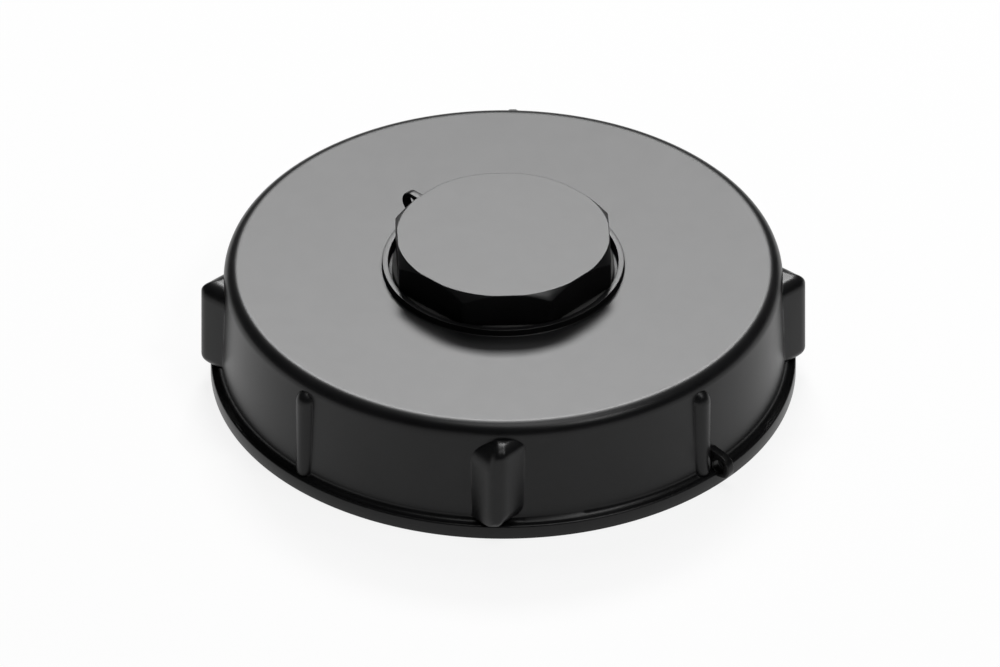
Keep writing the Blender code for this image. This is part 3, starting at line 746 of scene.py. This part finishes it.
def make_gasket(name, node, inner, material):
    """A flat ring with rounded edges."""
    outer, bottom, top = node_size(node)
    edge = GASKET_EDGE
    section = arc((inner + edge, top - edge), edge, 180.0, 90.0)
    section += run((inner + 2 * edge, top), (outer - 2 * edge, top), 4)
    section += arc((outer - edge, top - edge), edge, 90.0, 0.0)
    section += [(radius, top + bottom - height) for radius, height in reversed(section)]
    shape = bmesh.new()
    add_rings(shape, [
        [at(azimuth, radius, height) for radius, height in section]
        for azimuth in divide(0.0, 360.0, GASKET_STEPS)])
    finish_piece(name, shape, node, material)


def link(material, output, target):
    """Join one node's output to another's input."""
    material.node_tree.links.new(output, target)


def add_noise(material, scale, detail):
    """A noise pattern that stays with the piece, in patches of about 1 / scale metres."""
    nodes = material.node_tree.nodes
    place = nodes.get("Texture Coordinate") or nodes.new("ShaderNodeTexCoord")
    noise = nodes.new("ShaderNodeTexNoise")
    noise.inputs["Scale"].default_value = scale
    noise.inputs["Detail"].default_value = detail
    link(material, place.outputs["Object"], noise.inputs["Vector"])
    return noise.outputs["Fac"]


def add_range(material, value, low, high):
    """Spread a pattern's middle values over a range."""
    spread_out = material.node_tree.nodes.new("ShaderNodeMapRange")
    spread_out.inputs["From Min"].default_value = NOISE_LOW
    spread_out.inputs["From Max"].default_value = NOISE_HIGH
    spread_out.inputs["To Min"].default_value = low
    spread_out.inputs["To Max"].default_value = high
    link(material, value, spread_out.inputs["Value"])
    return spread_out.outputs["Result"]


def new_material(name, colours, roughness, grain, patches, ior):
    """A moulded surface: clouded colour, patchy gloss and a fine grain.

    The colours are the darkest and the palest, the roughness is its lowest and highest value,
    and the grain is its size and height in millimetres.
    """
    material = bpy.data.materials.new(name)
    material.use_nodes = True
    nodes = material.node_tree.nodes
    shader = nodes["Principled BSDF"]
    shader.inputs["IOR"].default_value = ior
    cloud = add_noise(material, 1.0 / (patches * MM), 3.0)
    mix = nodes.new("ShaderNodeMix")
    mix.data_type = "RGBA"
    mix.inputs["A"].default_value = (*colours[0], 1.0)
    mix.inputs["B"].default_value = (*colours[1], 1.0)
    link(material, add_range(material, cloud, 0.0, 1.0), mix.inputs["Factor"])
    link(material, mix.outputs["Result"], shader.inputs["Base Color"])
    patchy = add_noise(material, 3.0 / (patches * MM), 2.0)
    link(material, add_range(material, patchy, *roughness), shader.inputs["Roughness"])
    bump = nodes.new("ShaderNodeBump")
    bump.inputs["Strength"].default_value = 1.0
    bump.inputs["Distance"].default_value = grain[1] * MM
    link(material, add_noise(material, 1.0 / (grain[0] * MM), 2.0), bump.inputs["Height"])
    link(material, bump.outputs["Normal"], shader.inputs["Normal"])
    return material


def make_camera():
    """A parallel camera at the photograph's height and framing."""
    cosine = math.sqrt(1.0 - VIEW_SINE ** 2)
    towards = Vector((0.0, -cosine, VIEW_SINE))
    up = Vector((0.0, VIEW_SINE, cosine))
    right = Vector((1.0, 0.0, 0.0))
    data = bpy.data.cameras.new("view")
    data.type = "ORTHO"
    data.ortho_scale = PICTURE_WIDTH * MM
    data.clip_start = 0.01
    data.clip_end = 5.0
    camera = bpy.data.objects.new("view", data)
    bpy.context.scene.collection.objects.link(camera)
    spot = (right * VIEW_RIGHT + up * VIEW_UP + towards * VIEW_DISTANCE) * MM
    camera.matrix_world = Matrix.Translation(spot) @ Matrix((right, up, towards)).transposed().to_4x4()
    bpy.context.scene.camera = camera


def direction(azimuth, elevation):
    """A unit vector from the object towards a place in the studio."""
    across = math.cos(math.radians(elevation))
    angle = math.radians(azimuth - 90.0)
    return Vector((across * math.cos(angle), across * math.sin(angle), math.sin(math.radians(elevation))))


def add_panel(name, azimuth, elevation, width, height, brightness, distance):
    """A soft lamp that faces the lid's top, with its brightness seen straight on."""
    data = bpy.data.lights.new(name, "AREA")
    data.shape = "RECTANGLE"
    data.size = width
    data.size_y = height
    data.energy = brightness * math.pi * width * height
    lamp = bpy.data.objects.new(name, data)
    bpy.context.scene.collection.objects.link(lamp)
    target = Vector((0.0, 0.0, LID_HEIGHT * MM))
    away = direction(azimuth, elevation)
    lamp.location = target + away * distance
    lamp.rotation_euler = away.to_track_quat("Z", "Y").to_euler()


def floor_material():
    """A surface that is white to the eye and in glossy reflections, and keeps a faint shadow."""
    material = bpy.data.materials.new("white_floor")
    material.use_nodes = True
    nodes = material.node_tree.nodes
    shader = nodes["Principled BSDF"]
    shader.inputs["Base Color"].default_value = (FLOOR_COLOUR, FLOOR_COLOUR, FLOOR_COLOUR, 1.0)
    shader.inputs["Roughness"].default_value = FLOOR_ROUGHNESS
    shader.inputs["Specular IOR Level"].default_value = 0.0
    path = nodes.new("ShaderNodeLightPath")
    seen = path.outputs["Is Camera Ray"]
    for kind in ("Is Glossy Ray", "Is Transmission Ray"):
        both = nodes.new("ShaderNodeMath")
        both.operation = "ADD"
        both.use_clamp = True
        link(material, seen, both.inputs[0])
        link(material, path.outputs[kind], both.inputs[1])
        seen = both.outputs["Value"]
    share = nodes.new("ShaderNodeMath")
    share.operation = "MULTIPLY"
    share.inputs[1].default_value = FLOOR_GLOW
    link(material, seen, share.inputs[0])
    white = nodes.new("ShaderNodeEmission")
    mix = nodes.new("ShaderNodeMixShader")
    link(material, share.outputs["Value"], mix.inputs[0])
    link(material, shader.outputs["BSDF"], mix.inputs[1])
    link(material, white.outputs["Emission"], mix.inputs[2])
    link(material, mix.outputs["Shader"], nodes["Material Output"].inputs["Surface"])
    return material


def make_floor():
    """The floor, level with the lid's lowest point."""
    shape = bmesh.new()
    bmesh.ops.create_circle(shape, cap_ends=True, segments=96, radius=FLOOR_RADIUS)
    mesh = bpy.data.meshes.new("floor")
    shape.to_mesh(mesh)
    shape.free()
    mesh.materials.append(floor_material())
    floor = bpy.data.objects.new("floor", mesh)
    bpy.context.scene.collection.objects.link(floor)
    floor.location.z = LID_BOTTOM * MM


def make_room():
    """A dim white room round the lid."""
    world = bpy.data.worlds.new("studio")
    bpy.context.scene.world = world
    world.use_nodes = True
    background = world.node_tree.nodes["Background"]
    background.inputs["Color"].default_value = (1.0, 1.0, 1.0, 1.0)
    background.inputs["Strength"].default_value = ROOM_LIGHT


make_camera()
lid_plastic = new_material("black_plastic", *LID_SURFACE)
plug_plastic = new_material("plug_black_plastic", *PLUG_SURFACE)
rubber = new_material("seal_rubber", *RUBBER_SURFACE)
make_lid(lid_plastic)
make_plug(plug_plastic)
make_gasket("lid_seal_ring", "lid_gasket", node_size("lid_gasket")[0] - GASKET_WIDTH, rubber)
make_gasket("plug_seal_ring", "plug_gasket", PLUG_GASKET_INNER, rubber)
make_floor()
make_room()
for lamp in LAMPS:
    add_panel(*lamp)
bpy.context.scene.view_settings.view_transform = "Standard"
